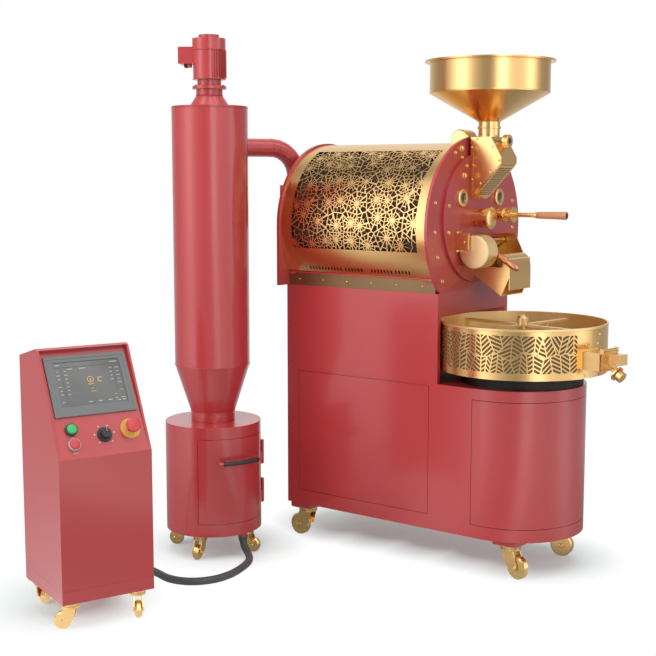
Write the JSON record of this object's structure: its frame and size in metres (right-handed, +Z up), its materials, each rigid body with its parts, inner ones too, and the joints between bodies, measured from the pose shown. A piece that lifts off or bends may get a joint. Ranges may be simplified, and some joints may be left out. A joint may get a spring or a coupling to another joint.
{
  "type": "gas coffee roaster",
  "caption": "Drum coffee roaster with hopper, openwork drum cover, round cooling tray, chaff cyclone and a separate control console, all on castors.",
  "frame": {"origin": "on the floor, under the middle of the whole set's bounding box (hose left out)", "axes": "+X from the roaster's rear to its face and cooling tray, +Z up, the operator and the console stand on the -Y side"},
  "size_m": [1.4378, 1.622, 1.705],
  "materials": {
    "red_paint": "semi-gloss red powder coat on sheet steel",
    "brass": "brushed brass, lacquered",
    "cast_brass": "cast and polished brass",
    "dark_steel": "dark, heat-stained steel",
    "steel": "bright machined steel",
    "copper_grip": "copper-toned lacquered grip",
    "wood": "oiled hardwood",
    "sight_glass": "sight glass in its brass ring",
    "screen": "dark touch screen in a matt frame",
    "black_plastic": "matt black",
    "green_plastic": "moulded green",
    "red_plastic": "moulded red",
    "hose_cover": "dark grey sheath",
    "castor_wheel": "gold-toned polyurethane wheel"
  },
  "bodies": {
    "frame": {"base_cabinet": "red_paint", "burner_cabinet": "red_paint", "castor_plates": "cast_brass", "conduit_hose": "hose_cover", "console_body": "red_paint", "console_plinth": "red_paint", "cooling_tray": "brass", "cover_rails": "brass", "cyclone_base": "red_paint", "cyclone_body": "red_paint", "cyclone_lid": "red_paint", "discharge_chute": "brass", "drum_cover": "brass", "drum_gearmotor": "steel", "exhaust_duct": "red_paint", "fan_motor": "red_paint", "feed_chute": "brass", "front_bearing": "cast_brass", "front_plate": "red_paint", "gas_burner": "dark_steel", "hopper": "brass", "rear_plate": "red_paint", "side_panels": "red_paint", "sight_glasses": "sight_glass", "touch_screen": "screen", "tray_base": "dark_steel", "tray_floor": "brass", "trier_guide": "cast_brass"},
    "front_door": {"front_door": "red_paint"},
    "drum": {"drum": "dark_steel"},
    "trier": {"trier": "cast_brass", "trier_handle": "wood"},
    "feed_gate": {"feed_gate": "cast_brass"},
    "discharge_door": {"discharge_door": "cast_brass", "discharge_weight": "cast_brass", "discharge_grip": "copper_grip"},
    "stirrer": {"stirrer": "cast_brass"},
    "tray_gate": {"tray_gate": "cast_brass"},
    "fan_impeller": {"fan_impeller": "steel"},
    "base_door": {"base_door": "red_paint"},
    "start_button": {"start_button": "green_plastic"},
    "stop_button": {"stop_button": "red_plastic"},
    "selector_knob": {"selector_knob": "black_plastic"},
    "estop_head": {"estop_head": "red_plastic"},
    "near_front_fork": {"near_front_fork": "cast_brass"},
    "near_front_wheel": {"near_front_wheel": "castor_wheel"},
    "far_front_fork": {"far_front_fork": "cast_brass"},
    "far_front_wheel": {"far_front_wheel": "castor_wheel"},
    "near_rear_fork": {"near_rear_fork": "cast_brass"},
    "near_rear_wheel": {"near_rear_wheel": "castor_wheel"},
    "far_rear_fork": {"far_rear_fork": "cast_brass"},
    "far_rear_wheel": {"far_rear_wheel": "castor_wheel"},
    "cyclone_castor_1": {"cyclone_castor_1": "castor_wheel"},
    "cyclone_castor_2": {"cyclone_castor_2": "castor_wheel"},
    "cyclone_castor_3": {"cyclone_castor_3": "castor_wheel"},
    "cyclone_castor_4": {"cyclone_castor_4": "castor_wheel"},
    "console_castor_1": {"console_castor_1": "castor_wheel"},
    "console_castor_2": {"console_castor_2": "castor_wheel"},
    "console_castor_3": {"console_castor_3": "castor_wheel"},
    "console_castor_4": {"console_castor_4": "castor_wheel"}
  },
  "joints": [
    {"name": "front_door_hinge", "type": "hinge", "parent": "frame", "child": "front_door", "pos_m": [0.28635, 0.7473, 0.366], "axis": [0, 0, 1], "range_deg": [0, 100]},
    {"name": "drum_turn", "type": "hinge", "parent": "frame", "child": "drum", "pos_m": [-0.1409, 0.519, 1.118], "axis": [1, 0, 0], "continuous": true},
    {"name": "trier_slide", "type": "slide", "parent": "frame", "child": "trier", "axis": [1, 0, 0], "range_m": [0, 0.18]},
    {"name": "feed_gate_slide", "type": "slide", "parent": "frame", "child": "feed_gate", "axis": [1, 0, 0], "range_m": [0, 0.06]},
    {"name": "discharge_door_pivot", "type": "hinge", "parent": "frame", "child": "discharge_door", "pos_m": [0.1971, 0.519, 1.045], "axis": [0, -1, 0], "range_deg": [0, 45]},
    {"name": "stirrer_turn", "type": "hinge", "parent": "frame", "child": "stirrer", "pos_m": [0.3391, 0.519, 0.74], "axis": [0, 0, 1], "continuous": true},
    {"name": "tray_gate_hinge", "type": "hinge", "parent": "frame", "child": "tray_gate", "pos_m": [0.66458, 0.46161, 0.734], "axis": [-0.1736, -0.9848, 0], "range_deg": [0, 70]},
    {"name": "fan_turn", "type": "hinge", "parent": "frame", "child": "fan_impeller", "pos_m": [-0.5599, 0.037, 1.48], "axis": [0, 0, 1], "continuous": true},
    {"name": "base_door_hinge", "type": "hinge", "parent": "frame", "child": "base_door", "pos_m": [-0.44001, 0.14934, 0.264], "axis": [0, 0, 1], "range_deg": [0, 100]},
    {"name": "start_button_press", "type": "slide", "parent": "frame", "child": "start_button", "axis": [-0.8091, 0.2945, -0.5086], "range_m": [0, 0.004], "stiffness_N_per_m": 600},
    {"name": "stop_button_press", "type": "slide", "parent": "frame", "child": "stop_button", "axis": [-0.8091, 0.2945, -0.5086], "range_m": [0, 0.004], "stiffness_N_per_m": 600},
    {"name": "selector_knob_turn", "type": "hinge", "parent": "frame", "child": "selector_knob", "pos_m": [-0.3216, -0.66484, 0.5412], "axis": [0.8091, -0.2945, 0.5086], "range_deg": [-135, 135]},
    {"name": "estop_press", "type": "slide", "parent": "frame", "child": "estop_head", "axis": [-0.8091, 0.2945, -0.5086], "range_m": [0, 0.005]},
    {"name": "near_front_swivel", "type": "hinge", "parent": "frame", "child": "near_front_fork", "pos_m": [0.3891, 0.373, 0.09], "axis": [0, 0, 1], "continuous": true},
    {"name": "near_front_roll", "type": "hinge", "parent": "near_front_fork", "child": "near_front_wheel", "pos_m": [0.42001, 0.36472, 0.0375], "axis": [0.2588, 0.9659, 0], "continuous": true},
    {"name": "far_front_swivel", "type": "hinge", "parent": "frame", "child": "far_front_fork", "pos_m": [0.3891, 0.665, 0.09], "axis": [0, 0, 1], "continuous": true},
    {"name": "far_front_roll", "type": "hinge", "parent": "far_front_fork", "child": "far_front_wheel", "pos_m": [0.42061, 0.67056, 0.0375], "axis": [-0.1736, 0.9848, 0], "continuous": true},
    {"name": "near_rear_swivel", "type": "hinge", "parent": "frame", "child": "near_rear_fork", "pos_m": [-0.3979, 0.346, 0.09], "axis": [0, 0, 1], "continuous": true},
    {"name": "near_rear_roll", "type": "hinge", "parent": "near_rear_fork", "child": "near_rear_wheel", "pos_m": [-0.4299, 0.346, 0.0375], "axis": [0, -1, 0], "continuous": true},
    {"name": "far_rear_swivel", "type": "hinge", "parent": "frame", "child": "far_rear_fork", "pos_m": [-0.3979, 0.692, 0.09], "axis": [0, 0, 1], "continuous": true},
    {"name": "far_rear_roll", "type": "hinge", "parent": "far_rear_fork", "child": "far_rear_wheel", "pos_m": [-0.42561, 0.708, 0.0375], "axis": [-0.5, -0.866, 0], "continuous": true},
    {"name": "cyclone_castor_1_swivel", "type": "hinge", "parent": "frame", "child": "cyclone_castor_1", "pos_m": [-0.52129, -0.0745, 0.04], "axis": [0, 0, 1], "continuous": true},
    {"name": "cyclone_castor_2_swivel", "type": "hinge", "parent": "frame", "child": "cyclone_castor_2", "pos_m": [-0.4484, 0.07561, 0.04], "axis": [0, 0, 1], "continuous": true},
    {"name": "cyclone_castor_3_swivel", "type": "hinge", "parent": "frame", "child": "cyclone_castor_3", "pos_m": [-0.59851, 0.1485, 0.04], "axis": [0, 0, 1], "continuous": true},
    {"name": "cyclone_castor_4_swivel", "type": "hinge", "parent": "frame", "child": "cyclone_castor_4", "pos_m": [-0.6714, -0.00161, 0.04], "axis": [0, 0, 1], "continuous": true},
    {"name": "console_castor_1_swivel", "type": "hinge", "parent": "frame", "child": "console_castor_1", "pos_m": [-0.36842, -0.76486, 0.04], "axis": [0, 0, 1], "continuous": true},
    {"name": "console_castor_2_swivel", "type": "hinge", "parent": "frame", "child": "console_castor_2", "pos_m": [-0.29933, -0.57504, 0.04], "axis": [0, 0, 1], "continuous": true},
    {"name": "console_castor_3_swivel", "type": "hinge", "parent": "frame", "child": "console_castor_3", "pos_m": [-0.50982, -0.49843, 0.04], "axis": [0, 0, 1], "continuous": true},
    {"name": "console_castor_4_swivel", "type": "hinge", "parent": "frame", "child": "console_castor_4", "pos_m": [-0.57891, -0.68825, 0.04], "axis": [0, 0, 1], "continuous": true}
  ]
}
